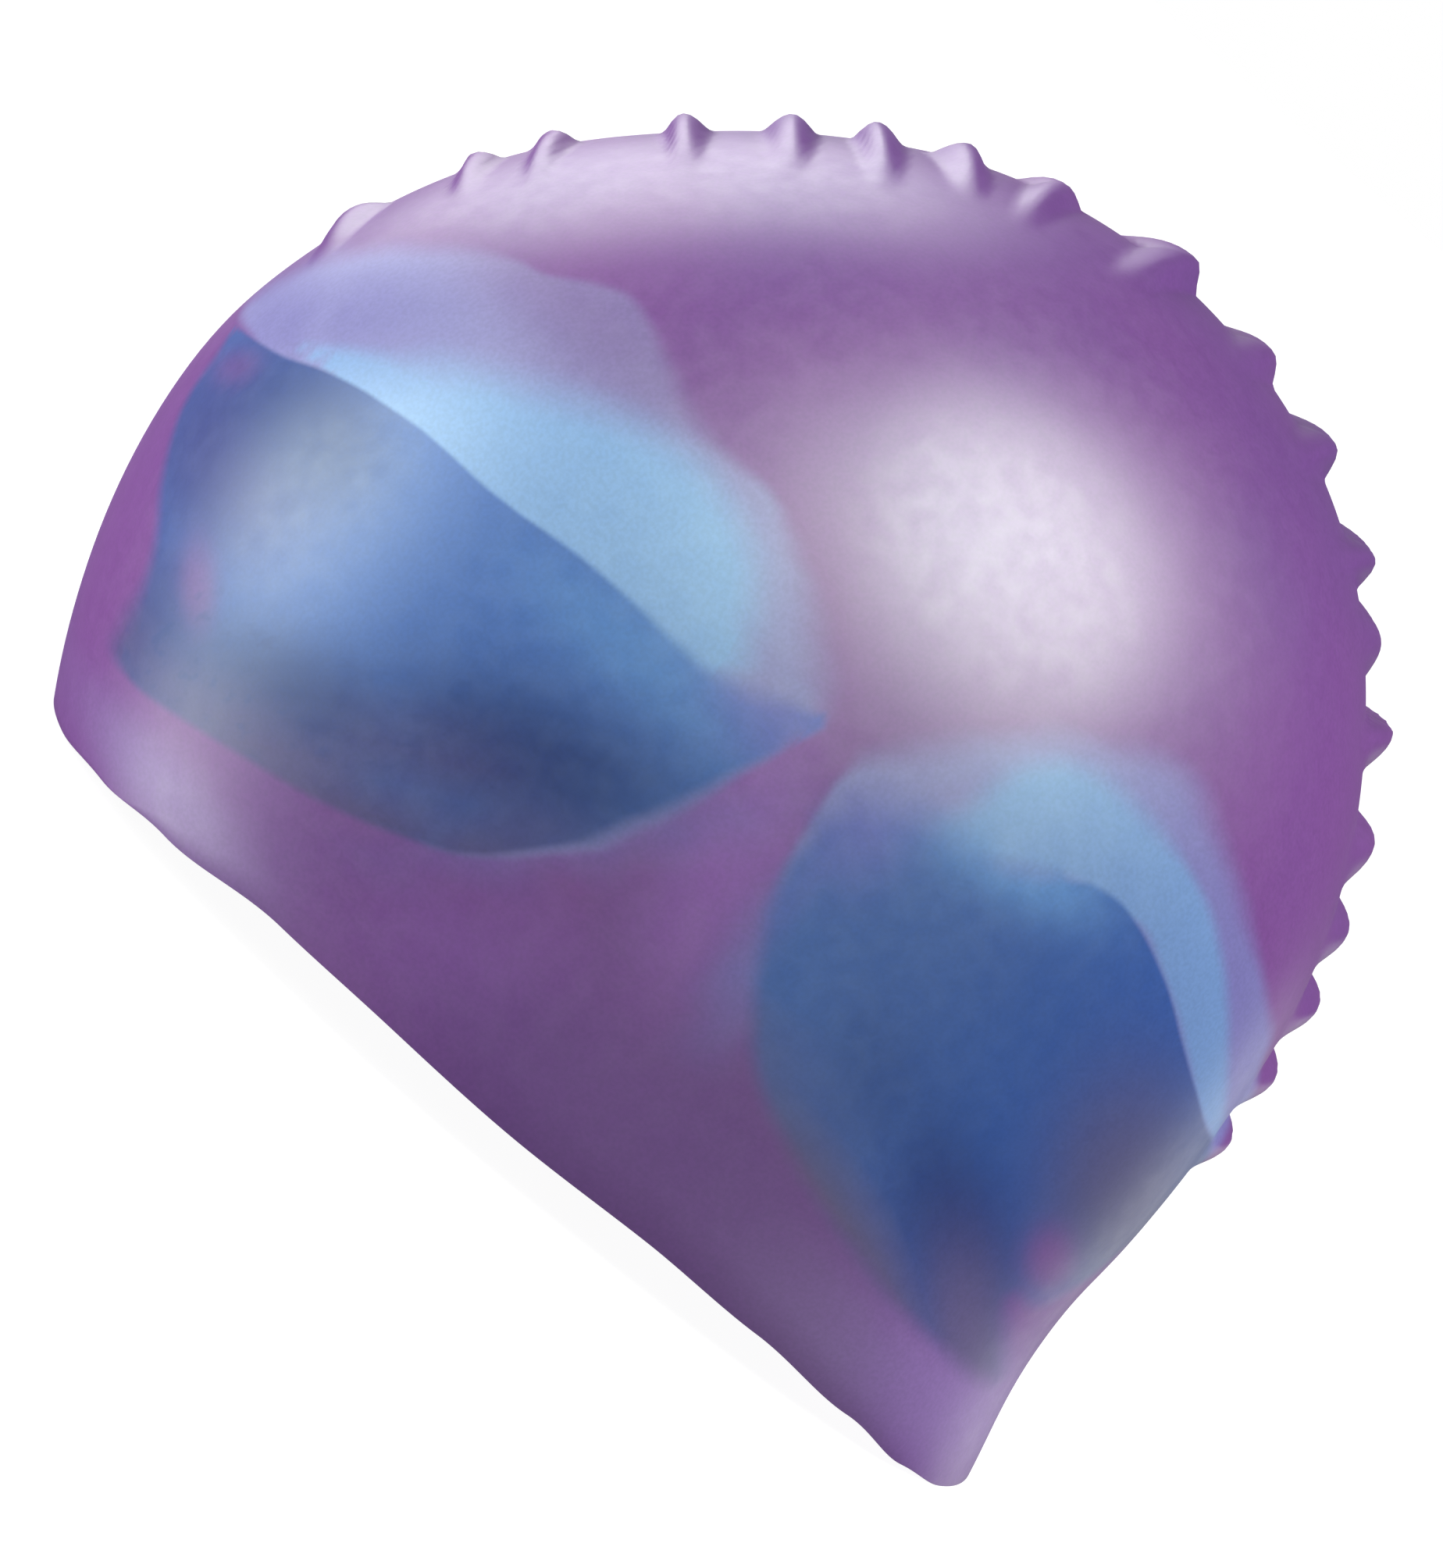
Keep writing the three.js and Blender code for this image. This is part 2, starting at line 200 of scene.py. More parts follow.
# %% [markdown]
# ## Laying the side out flat
# A grid that is wrapped round a dome needs a map. Here the map lays one side of the cap out in a plane: the
# angle stays, and the distance from the middle is 90 degrees less the turn. The side becomes a disc with its
# lower part cut off by the rim. A patch between four edges (the seam, two short stretches of rim at the ends
# and the long stretch of rim below) then fills it with rows and columns that never pinch, so the gloss stays
# even.

# %% The map of one side
SEAM_COLUMNS = 348
SIDE_ROWS = 57
END_STRETCH = 47.0


def on_map(angle, turn):
    return np.stack([np.cos(np.radians(angle)), np.sin(np.radians(angle))], axis=-1) * (90 - turn)[..., None]


def run_lengths(points):
    steps = np.linalg.norm(np.diff(points, axis=0), axis=1)
    return np.concatenate([[0], np.cumsum(steps)])


def along_edge(angles, lengths, wanted):
    angle = np.interp(wanted, lengths, angles)
    return on_map(angle, edge_turn(angle))


seam_angles = np.linspace(FOREHEAD_ANGLE, NAPE_ANGLE, 2401)
seam_lengths = run_lengths(skin_point(seam_angles, np.zeros_like(seam_angles)))
SEAM_TOTAL = seam_lengths[-1]
rim_angles = np.linspace(FOREHEAD_ANGLE, NAPE_ANGLE + 360, 2401)
rim_lengths = run_lengths(skin_point(rim_angles, edge_turn(rim_angles)))
RIM_TOTAL = rim_lengths[-1]


def seam_stations():
    """Columns close together where the puckers are, wider apart toward the rim at both ends."""
    share = np.linspace(0, 1, 2001)
    density = 0.42 + 0.58 * smooth((share - 0.15) / 0.05) * smooth((0.93 - share) / 0.05)
    filled = np.concatenate([[0], np.cumsum((density[1:] + density[:-1]) / 2)])
    return np.interp(np.linspace(0, filled[-1], SEAM_COLUMNS), filled, share) * SEAM_TOTAL


def side_rows():
    """Rows close together near the seam, wider apart down the side."""
    steps = 0.0052 + 0.0165 * smooth((np.arange(SIDE_ROWS - 1) - 12) / 22)
    return np.concatenate([[0], np.cumsum(steps)]) / steps.sum()


def side_patch():
    u = np.linspace(0, 1, SEAM_COLUMNS)[:, None, None]
    t = side_rows()[None, :, None]
    seam = on_map(np.interp(seam_stations(), seam_lengths, seam_angles), np.zeros(SEAM_COLUMNS))[:, None]
    below_lengths = np.linspace(END_STRETCH, RIM_TOTAL - END_STRETCH, SEAM_COLUMNS)
    below = along_edge(rim_angles, rim_lengths, below_lengths)[:, None]
    front = along_edge(rim_angles, rim_lengths, t[0, :, 0] * END_STRETCH)[None]
    nape = along_edge(rim_angles, rim_lengths, RIM_TOTAL - t[0, :, 0] * END_STRETCH)[None]
    corners = ((1 - u) * (1 - t) * seam[:1] + u * (1 - t) * seam[-1:]
               + (1 - u) * t * below[:1] + u * t * below[-1:])
    return (1 - t) * seam + t * below + (1 - u) * front + u * nape - corners


patch = side_patch()
print("seam", SEAM_TOTAL.round(1), "mm, rim", (2 * RIM_TOTAL).round(1), "mm, map", patch.shape)

# %% [markdown]
# ## The puckers
# A stretched cap is pulled lengthwise less along its seam than the flat mould was long, so the seam gathers
# in little folds. Each is highest on the seam, narrows down the side and dies away within one or two fingers'
# breadths. Sculpting them by hand would work too, but a list with a place along the seam, height, length,
# peak, reach and lean for each keeps them adjustable.

# %% The lift of the puckers
PUCKER_HEIGHT = 4.2
PUCKER_LENGTH = 13.3
PUCKER_REACH = 31.0
PUCKER_NARROWING = 0.5
PUCKERS = [
    # place, height, length, peak, reach, lean
    (0.207, 0.55, 0.86, 0.51, 0.55, 0.40),
    (0.255, 0.53, 0.54, 0.44, 0.70, 0.16),
    (0.282, 0.60, 0.54, 0.49, 0.85, 0.16),
    (0.328, 0.71, 0.58, 0.43, 0.95, 0.00),
    (0.364, 0.71, 0.66, 0.53, 0.90, 0.00),
    (0.395, 0.76, 0.62, 0.43, 0.93, -0.07),
    (0.424, 0.68, 0.68, 0.60, 0.82, -0.08),
    (0.461, 0.62, 0.68, 0.55, 0.90, 0.20),
    (0.508, 1.00, 0.85, 0.70, 1.00, 0.30),
    (0.552, 0.76, 0.77, 0.60, 0.70, 0.22),
    (0.591, 0.92, 0.74, 0.60, 0.84, 0.20),
    (0.633, 0.90, 0.68, 0.58, 0.78, 0.22),
    (0.662, 0.68, 0.92, 0.54, 0.74, 0.22),
    (0.699, 1.10, 0.72, 0.30, 0.70, 0.10),
    (0.737, 0.95, 0.98, 0.38, 0.66, 0.00),
    (0.768, 0.90, 0.96, 0.40, 0.66, 0.00),
    (0.796, 1.00, 0.88, 0.38, 0.66, -0.10),
    (0.826, 1.00, 0.94, 0.38, 0.62, -0.10),
    (0.854, 1.00, 0.90, 0.38, 0.60, -0.10),
]


def pucker_lift(along, down):
    """Lift in millimetres at a length along the seam and a distance down the side."""
    lift = np.zeros_like(along)
    for place, height, length, peak, reach, lean in PUCKERS:
        start = place * SEAM_TOTAL - length * PUCKER_LENGTH / 2
        end = start + length * PUCKER_LENGTH
        top = start + length * PUCKER_LENGTH * peak
        depth = np.clip(down / (reach * PUCKER_REACH), 0, 1)
        here = (along + lean * down - top) / (1 - PUCKER_NARROWING * depth)
        t = np.where(here < 0, here / (start - top), here / (end - top))
        bump = np.cos(np.clip(t, 0, 1) * np.pi / 2) ** 1.15 * (1 - depth**2) ** 2
        lift = np.maximum(lift, bump * height * PUCKER_HEIGHT)
    return lift


print(len(PUCKERS), "puckers, the tallest", max(row[1] for row in PUCKERS) * PUCKER_HEIGHT, "mm")

# %% [markdown]
# ## From grid to skin
# One flat grid carries both sides: its middle row is the seam, and the rows on either hand run down to the
# rim. We let bmesh lay the grid, read from each corner which column and row it is, and move it to its place
# on the skin.

# %% Lay the grid over the cap
MM = 0.001
grid = bmesh.new()
bmesh.ops.create_grid(grid, x_segments=SEAM_COLUMNS - 1, y_segments=2 * (SIDE_ROWS - 1), size=1.0)
flat = np.array([vert.co[:2] for vert in grid.verts])
column = np.rint((flat[:, 0] + 1) / 2 * (SEAM_COLUMNS - 1)).astype(int)
row = np.rint(flat[:, 1] * (SIDE_ROWS - 1)).astype(int)
side = np.where(row < 0, -1.0, 1.0)

place = patch[column, np.abs(row)]
spoke = np.degrees(np.arctan2(place[:, 1], place[:, 0]))
turn = np.clip(90 - np.linalg.norm(place, axis=1), 0, 90)
turn[row == 0] = 0
taut = skin_point(spoke, turn)
unwrapped = np.where(spoke < -90, spoke + 360, spoke)
seam_here = np.interp(-np.clip(unwrapped, NAPE_ANGLE, FOREHEAD_ANGLE), -seam_angles, seam_lengths)
lift = pucker_lift(seam_here, taut[:, 1])
skin = taut + skin_normal(taut) * lift[:, None]
skin[:, 1] *= side
skin[:, 0] -= (skin[:, 0].min() + skin[:, 0].max()) / 2
for vert, spot in zip(grid.verts, skin * MM):
    vert.co = spot
bmesh.ops.recalc_face_normals(grid, faces=grid.faces)
crown_face = max(grid.faces, key=lambda face: face.calc_center_median().z)
if crown_face.normal.z < 0:
    bmesh.ops.reverse_faces(grid, faces=grid.faces)
cap_mesh = bpy.data.meshes.new("cap_skin")
grid.to_mesh(cap_mesh)
grid.free()
print("skin", skin.min(axis=0).round(2), skin.max(axis=0).round(2), "mm,", len(cap_mesh.polygons), "faces")

# %% [markdown]
# ## The thickness
# Stretched silicone is thin. A Solidify modifier gives the skin its wall, inward, so that the outside stays
# where the model has it, and a small Bevel rounds the two cut edges of the rim, which catch the light as a
# fine line.

# %% Wall and rim edge
WALL = 1.0 * MM
EDGE_ROUNDING = 0.3 * MM
cap = bpy.data.objects.new("cap_skin", cap_mesh)
bpy.context.scene.collection.objects.link(cap)
for polygon in cap_mesh.polygons:
    polygon.use_smooth = True

wall = cap.modifiers.new("wall", "SOLIDIFY")
wall.thickness = WALL
wall.offset = -1
wall.use_even_offset = True
wall.use_rim = True
wall.material_offset = 1
wall.material_offset_rim = 0

edge = cap.modifiers.new("rim edge", "BEVEL")
edge.width = EDGE_ROUNDING
edge.segments = 2
edge.limit_method = "ANGLE"
edge.angle_limit = np.radians(60)
print("wall", wall.thickness, "m, edge", edge.width, "m")

# %% [markdown]
# ## The marbling
# Silicone caps are often marbled: a few spoonfuls of other colours are laid into the mould and spread as it
# closes. Each side here has two pools, one toward the forehead and one toward the nape. A pool has a milky
# outer film, a light blue band and a deep blue core. Painting them as an image would work, but then the
# pattern has a resolution. Instead each layer of a pool is a closed outline with a softness at every point,
# and each vertex stores how far inside it lies, measured in softnesses. The shader turns that number into a
# crisp or a hazy edge. Each layer runs a little way under the next one, so that no gap of the base colour
# shows between them.

# %% Outlines of the pools
# Each point: x and z on the side in millimetres, and how wide the edge blurs there.
FRONT_FILM = [
    (-98.5, 63.5, 1.4), (-97.2, 70.6, 1.7), (-93.3, 79.5, 1.9), (-87.3, 87.4, 1.9), (-79.6, 94.6, 1.7),
    (-73.8, 98.5, 0.9), (-69.1, 100.1, 0.7), (-63.4, 103.8, 0.9), (-58.5, 105.8, 1.2), (-54.1, 104.9, 1.7),
    (-48.6, 102.3, 1.9), (-40.8, 99.8, 2.4), (-33.2, 99.3, 1.6), (-26.2, 99.5, 1.3), (-21.3, 97.0, 2.5),
    (-15.8, 93.3, 3.6), (-10.2, 88.4, 4.5), (-4.5, 83.5, 4.5), (-1.5, 79.6, 2.8), (-2.4, 75.3, 1.6),
    (-4.8, 68.8, 1.8), (-6.8, 62.7, 1.8), (-9.1, 55.3, 1.8), (-11.6, 49.6, 1.8), (-13.8, 45.6, 1.6),
    (-18.0, 40.6, 1.2), (-22.6, 36.0, 1.2), (-28.0, 32.2, 1.2), (-34.6, 30.2, 1.2), (-41.6, 29.9, 1.2),
    (-49.6, 27.2, 1.2), (-58.0, 24.8, 1.2), (-66.6, 22.4, 1.2), (-74.4, 20.6, 1.2), (-78.4, 23.4, 1.2),
    (-79.4, 28.4, 1.2), (-81.0, 34.9, 1.2), (-84.0, 41.0, 1.2), (-87.4, 46.4, 1.2), (-89.6, 51.0, 1.2),
    (-90.6, 57.0, 1.2), (-91.6, 61.6, 1.2), (-94.2, 63.4, 1.2),
]
FRONT_BAND = [
    (-88.8, 68.2, 1.4), (-80.5, 75.6, 1.9), (-72.8, 80.8, 4.2), (-62.9, 86.6, 4.2),
    (-52.8, 91.8, 4.2), (-43.8, 94.9, 4.2), (-35.1, 95.6, 4.2), (-27.7, 93.7, 4.2), (-22.1, 90.2, 4.2),
    (-17.9, 85.4, 4.2), (-14.2, 80.0, 4.2), (-13.4, 76.3, 2.8), (-20.1, 73.3, 1.8), (-30.3, 73.4, 0.9),
    (-37.4, 73.4, 0.6), (-44.3, 72.9, 0.6), (-52.1, 71.8, 0.5), (-57.5, 71.2, 0.5), (-63.3, 71.2, 0.4),
    (-69.0, 70.7, 0.4), (-74.1, 69.7, 0.4), (-79.1, 68.4, 0.6), (-84.0, 68.9, 0.9),
]
FRONT_CORE = [
    (-97.3, 62.1, 0.4), (-90.3, 65.3, 0.4), (-84.9, 68.4, 0.4), (-79.1, 70.7, 0.4), (-74.0, 72.0, 0.4),
    (-68.8, 73.0, 0.4), (-63.2, 73.4, 0.4), (-57.3, 73.5, 0.5), (-51.9, 74.0, 0.5), (-44.1, 75.1, 0.6),
    (-37.3, 75.6, 0.7), (-30.1, 75.7, 0.9), (-20.0, 75.6, 1.7), (-12.8, 76.4, 2.6), (-6.7, 78.5, 2.4),
    (-0.3, 81.1, 0.9), (-1.9, 75.4, 0.9), (-4.5, 69.2, 1.4), (-6.7, 63.4, 1.9), (-9.3, 56.3, 2.1),
    (-11.8, 50.8, 2.1), (-14.0, 46.6, 1.7), (-17.9, 41.1, 1.2), (-22.4, 36.2, 0.9), (-27.5, 31.9, 0.9),
    (-33.7, 28.9, 0.9), (-40.3, 26.2, 0.9), (-48.4, 23.5, 0.9), (-57.0, 21.2, 0.9), (-65.6, 18.6, 0.9),
    (-73.4, 16.3, 0.9), (-77.2, 15.7, 0.9), (-81.4, 16.4, 1.9), (-82.7, 21.0, 2.4), (-84.5, 27.7, 1.6),
    (-87.2, 33.6, 1.4), (-91.4, 38.8, 1.2), (-94.6, 44.4, 0.9), (-96.4, 49.0, 0.7), (-97.0, 53.4, 0.7),
    (-97.2, 57.0, 0.7), (-97.7, 60.4, 0.5),
]
REAR_FILM = [
    (6.4, 78.1, 2.4), (10.1, 83.1, 3.3), (14.6, 87.9, 3.9), (19.9, 93.4, 3.6), (24.1, 97.9, 3.3),
    (30.5, 101.5, 3.3), (37.1, 104.3, 3.3), (42.4, 105.5, 3.3), (47.3, 105.2, 3.3), (53.4, 102.5, 3.3),
    (59.7, 99.7, 3.0), (66.0, 95.6, 2.7), (72.0, 92.6, 1.6), (78.5, 88.1, 1.4), (85.3, 82.5, 1.4),
    (88.7, 77.2, 1.4), (92.5, 72.0, 1.2), (95.0, 66.0, 1.2), (94.0, 60.0, 1.6), (90.6, 58.0, 2.0),
    (86.6, 52.6, 2.0), (82.0, 46.6, 2.0), (77.0, 41.6, 2.0), (70.4, 38.0, 2.0), (61.1, 40.0, 2.0),
    (51.7, 43.6, 2.0), (44.6, 48.6, 2.0), (38.0, 54.6, 2.0), (31.0, 58.6, 2.0), (22.4, 58.4, 2.2),
    (15.0, 55.6, 2.2), (12.0, 55.6, 2.0), (10.6, 57.3, 1.8), (9.7, 59.0, 1.6), (8.8, 62.4, 1.2),
    (7.2, 69.3, 0.9), (6.4, 74.9, 0.9),
]
REAR_BAND = [
    (22.1, 78.8, 3.7), (22.2, 82.6, 3.7), (22.9, 86.0, 3.1), (25.0, 91.9, 3.1), (28.3, 96.6, 2.6),
    (33.8, 98.8, 2.6), (39.5, 99.1, 2.6), (46.2, 98.3, 2.6), (54.0, 96.5, 1.4), (61.7, 93.1, 1.4),
    (68.4, 88.7, 1.4), (75.4, 82.6, 1.4), (82.0, 75.5, 1.4), (87.5, 69.6, 1.4), (92.5, 63.5, 1.4),
    (84.6, 67.3, 1.4), (78.8, 71.3, 1.4), (72.5, 75.5, 1.4), (65.6, 80.2, 1.4), (59.7, 83.5, 1.4),
    (54.6, 85.8, 1.4), (48.3, 85.0, 0.6), (44.1, 84.9, 2.6), (40.4, 84.0, 2.6), (35.9, 82.4, 2.6),
    (32.4, 80.5, 2.6), (27.9, 78.0, 3.1), (25.1, 78.3, 3.7),
]
REAR_CORE = [
    (8.1, 66.2, 2.4), (8.7, 73.6, 5.0), (13.7, 77.8, 5.0), (20.2, 80.3, 5.0), (26.1, 81.9, 5.0),
    (32.4, 81.8, 3.0), (37.4, 84.5, 3.0), (41.9, 86.1, 0.8), (45.7, 86.9, 0.7), (49.8, 87.0, 0.6),
    (54.7, 85.6, 0.5), (59.9, 83.3, 0.5), (65.8, 80.0, 0.4), (72.7, 75.3, 0.4), (79.0, 71.1, 0.4),
    (85.3, 66.9, 0.5), (92.5, 62.5, 0.9), (94.5, 57.4, 1.2), (93.5, 48.4, 1.4), (91.0, 41.1, 1.7),
    (88.5, 36.1, 1.7), (85.6, 32.6, 2.6), (82.4, 31.0, 2.6), (79.3, 31.5, 2.6), (78.9, 29.5, 2.6),
    (83.0, 24.7, 2.6), (87.9, 18.1, 2.6), (84.4, 17.6, 2.6), (73.3, 19.4, 2.1), (63.7, 21.6, 2.1),
    (53.5, 24.5, 2.1), (43.7, 27.6, 2.1), (34.3, 30.9, 2.1), (27.8, 34.2, 2.1), (22.2, 38.7, 2.1),
    (18.0, 44.0, 2.1), (14.0, 49.6, 2.1), (10.5, 55.4, 2.1), (9.4, 61.4, 1.7),
]


def rounded(outline, parts=5):
    """The closed outline with more points, on a smooth curve through the given ones."""
    points = np.array(outline)
    before, after, beyond = np.roll(points, 1, 0), np.roll(points, -1, 0), np.roll(points, -2, 0)
    pieces = []
    for t in np.arange(parts) / parts:
        bend = 2 * before - 5 * points + 4 * after - beyond
        twist = 3 * points - before - 3 * after + beyond
        pieces.append(0.5 * (2 * points + (after - before) * t + bend * t**2 + twist * t**3))
    return np.stack(pieces, axis=1).reshape(-1, 3)


CRISPEST = 0.45  # millimetres: a harder edge would show the cells of the grid as teeth


def depth_inside(spots, outline, most=40.0):
    """How far inside the outline each spot lies, in widths of its soft edge. Negative is outside."""
    corners = rounded(outline)
    corners[:, 2] = np.maximum(corners[:, 2], CRISPEST)
    nearest = np.full(len(spots), 1e9)
    soft = np.ones(len(spots))
    inside = np.zeros(len(spots), dtype=bool)
    for start, end in zip(corners, np.roll(corners, -1, 0)):
        run = end[:2] - start[:2]
        t = np.clip(((spots - start[:2]) @ run) / max(run @ run, 1e-9), 0, 1)
        distance = np.linalg.norm(spots - start[:2] - t[:, None] * run, axis=1)
        closer = distance < nearest
        nearest = np.where(closer, distance, nearest)
        soft = np.where(closer, start[2] + (end[2] - start[2]) * t, soft)
        crosses = (start[1] > spots[:, 1]) != (end[1] > spots[:, 1])
        height = np.where(crosses, (spots[:, 1] - start[1]) / (run[1] if abs(run[1]) > 1e-9 else 1e-9), 0)
        inside ^= crosses & (spots[:, 0] < start[0] + run[0] * height)
    return np.clip(np.where(inside, nearest, -nearest) / soft, -most, most)


pools = [FRONT_FILM, FRONT_BAND, FRONT_CORE, REAR_FILM, REAR_BAND, REAR_CORE]
print(len(pools), "outlines drawn with", sum(map(len, pools)), "points")

# %% [markdown]
# ## Where each drop of colour ran
# No two sides of a marbled cap are the same. The far side reads the same outlines through a slow wobble that
# fades out at the seam, so the pools still meet there. The colours also vary inside the pools and around
# them. Each such cloud is a list of soft blobs with a centre, two radii, a slant and a strength. Two clouds
# are painted light rather than marbling: one darkens the purple low in the middle of each side as painted
# shade, and one lightens it near the rim toward the forehead and the nape as painted fill light. Two of the
# lists are not colours: deep marks where a pool takes its darker set of blues, and wisps marks where it is
# streaked.

# %% Store the pools and clouds on the vertices
WOBBLE_FULL = 45.0  # millimetres from the seam to where the wobble is full
far = side > 0
fade_in = smooth(np.abs(skin[:, 1]) / WOBBLE_FULL) * far
wobble_x = 9 * np.sin(skin[:, 2] / 21 + 0.6) + 5 * np.sin(skin[:, 0] / 17 + 2.1)
wobble_z = 8 * np.sin(skin[:, 0] / 24 + 1.3) + 4 * np.sin(skin[:, 2] / 13 + 0.4)
spots = np.stack([skin[:, 0] + wobble_x * fade_in, skin[:, 2] + wobble_z * fade_in], axis=-1)

CLOUDS = {
    # each blob: x and z of its centre, radius along, radius across, slant in degrees, strength
    "thin": [
        (-62, 102, 40, 10, 4, 1.0),
    ],
    "deep": [
        (60, 60, 60, 60, 0, 1.0), (-80, 78, 13, 8, 45, 0.7), (-95, 70, 8, 8, 0, 0.6),
    ],
    "sky": [
        (-26, 71, 20, 6, 4, 0.7), (33, 83, 15, 6, 4, 0.9),
    ],
    "dusk": [
        (-87, 50, 17, 20, 0, 1.0), (-82, 26, 10, 16, 10, 0.9),
    ],
    "navy": [
        (-28, 49, 25, 11, 20, 1.0), (-60, 31, 24, 10, 24, 1.0), (-80, 62, 12, 10, 20, 0.9),
        (64, 34, 21, 9, -30, 1.0), (90, 66, 8, 10, -40, 0.5), (40, 44, 14, 7, -32, 0.5),
    ],
    "slate": [
        (83, 51, 25, 14, -49, 1.0),
    ],
    "lilac": [
        (-3, 77, 13, 6, 8, 0.9), (12, 75, 8, 11, 20, 0.8), (12, 60, 3, 12, 0, 0.4),
    ],
    "grey": [
        (-48, 24, 40, 8, 14, 1.0), (-24, 36, 15, 6, 38, 0.9), (-84, 18, 10, 7, 0, 0.8),
        (-40, 38, 16, 7, 30, 0.6),
    ],
    "ash": [
        (50, 25, 44, 6.5, -19, 1.0), (18, 37, 10, 5, -48, 0.8), (80, 20, 22, 8, -42, 1.0),
    ],
    # painted shade: a darker purple low in the middle of each side, toward the rim
    "painted_shade": [
        (14, 16, 54, 20, -2, 1.0),
    ],
    "haze": [
        (15, 49, 6, 12, 12, 0.9), (-17, 45, 27, 4.5, 47, 0.6),
    ],
    "rose": [
        (-94, 59, 4, 2, 60, 0.5), (-78.5, 34, 6, 3, -49, 0.6), (80, 38, 7, 4, -40, 0.8),
    ],
    "plum": [
        (2, 58, 9, 22, 14, 1.0), (-18, 24, 18, 8, 30, 0.4),
    ],
    # painted fill light: a paler purple near the rim, toward the forehead and toward the nape
    "painted_fill_light": [
        (76, 12, 34, 11, -3, 0.9), (-62, 8, 18, 6, 0, 0.9),
    ],
    "wisps": [
        (-66, 29, 26, 10, 20, 1.0),
    ],
}


def cloud_cover(blobs):
    cover = np.zeros(len(spots))
    for x, z, along, across, slant, strength in blobs:
        offset = spots - np.array([x, z])
        turned = np.radians(slant)
        a = (offset[:, 0] * np.cos(turned) + offset[:, 1] * np.sin(turned)) / along
        b = (offset[:, 1] * np.cos(turned) - offset[:, 0] * np.sin(turned)) / across
        cover = np.maximum(cover, strength * np.exp(-((a**2 + b**2) ** 1.4)))
    return cover


def store(name, values):
    layer = cap_mesh.attributes.new(name, "FLOAT", "POINT")
    layer.data.foreach_set("value", values.astype(np.float32))


store("film", np.maximum(depth_inside(spots, FRONT_FILM), depth_inside(spots, REAR_FILM)))
store("band", np.maximum(depth_inside(spots, FRONT_BAND), depth_inside(spots, REAR_BAND)))
store("core", np.maximum(depth_inside(spots, FRONT_CORE), depth_inside(spots, REAR_CORE)))
for name, blobs in CLOUDS.items():
    store(name, cloud_cover(blobs))
print("stored", [layer.name for layer in cap_mesh.attributes if layer.data_type == "FLOAT"])

# %% [markdown]
# ## Helpers for the material
# A material is a small machine of nodes. A few helpers keep it readable. They add a node and wire its inputs,
# mix two colours by a factor, read a number stored on the vertices, do a sum, and turn one range of numbers
# into another.

# %% Node helpers
def add(tree, kind, inputs=None, **settings):
    made = tree.nodes.new(kind)
    for name, value in settings.items():
        setattr(made, name, value)
    for name, value in (inputs or {}).items():
        if isinstance(value, bpy.types.NodeSocket):
            tree.links.new(value, made.inputs[name])
        else:
            made.inputs[name].default_value = value
    return made


def mix_colour(tree, factor, first, second, how="MIX"):
    """Mixes two colours. Sockets 0, 6 and 7 of a Mix node are the factor and the colours, and 2 the result."""
    inputs = {0: factor}
    for index, value in ((6, first), (7, second)):
        inputs[index] = value if isinstance(value, bpy.types.NodeSocket) else (*value, 1.0)
    return add(tree, "ShaderNodeMix", inputs, data_type="RGBA", blend_type=how).outputs[2]


def stored(tree, name):
    return add(tree, "ShaderNodeAttribute", attribute_type="GEOMETRY", attribute_name=name).outputs["Fac"]


def maths(tree, operation, first, second=0.0):
    return add(tree, "ShaderNodeMath", {0: first, 1: second}, operation=operation).outputs[0]


def ramp(tree, value, low, high, to_low=0.0, to_high=1.0):
    inputs = {"Value": value, "From Min": low, "From Max": high, "To Min": to_low, "To Max": to_high}
    return add(tree, "ShaderNodeMapRange", inputs, interpolation_type="SMOOTHSTEP").outputs["Result"]


print("helpers: add, mix_colour, stored, maths, ramp")

# %% [markdown]
# ## Pearl silicone
# The real finish is a satin rubber with mica in it: a coloured body under a broad, milky sheen, with a grain
# that only shows up close. The Principled shader does this with a fairly rough, strong reflection over the
# base colour, tinted a little against the purple as mica is. The pools are mixed in from the outside inward:
# clouds in the purple first, then film, band and core. Noise stretched along the flow keeps their edges
# alive, and drawn-out noise streaks the front of the core. A fine dark line on the crest is the mould's
# parting line.

# %% The outside of the cap
# Linear red, green and blue.
PURPLE = (0.190, 0.056, 0.278)
# PURPLE_DEEP is also the colour of the painted shade low on the sides.
PURPLE_DEEP = (0.150, 0.048, 0.262)
HAZE = (0.160, 0.135, 0.440)
PLUM = (0.245, 0.085, 0.400)
# A paler purple, painted fill light near the rim.
PAINTED_FILL_LIGHT = (0.245, 0.145, 0.395)
FILM = (0.255, 0.245, 0.520)
THIN_FILM = (0.215, 0.152, 0.375)
DEEP_FILM = (0.172, 0.152, 0.430)
BAND = (0.232, 0.420, 0.725)
DEEP_BAND = (0.150, 0.268, 0.560)
BLUE = (0.048, 0.142, 0.465)
DEEP_BLUE = (0.020, 0.080, 0.345)
SKY = (0.088, 0.250, 0.600)
DUSK = (0.048, 0.060, 0.245)
NAVY = (0.006, 0.032, 0.200)
SLATE = (0.080, 0.074, 0.200)
LILAC = (0.120, 0.120, 0.470)
GREY = (0.076, 0.056, 0.200)
ASH = (0.108, 0.082, 0.215)
ROSE = (0.185, 0.062, 0.270)
LINE_SHADE = (0.060, 0.030, 0.100)


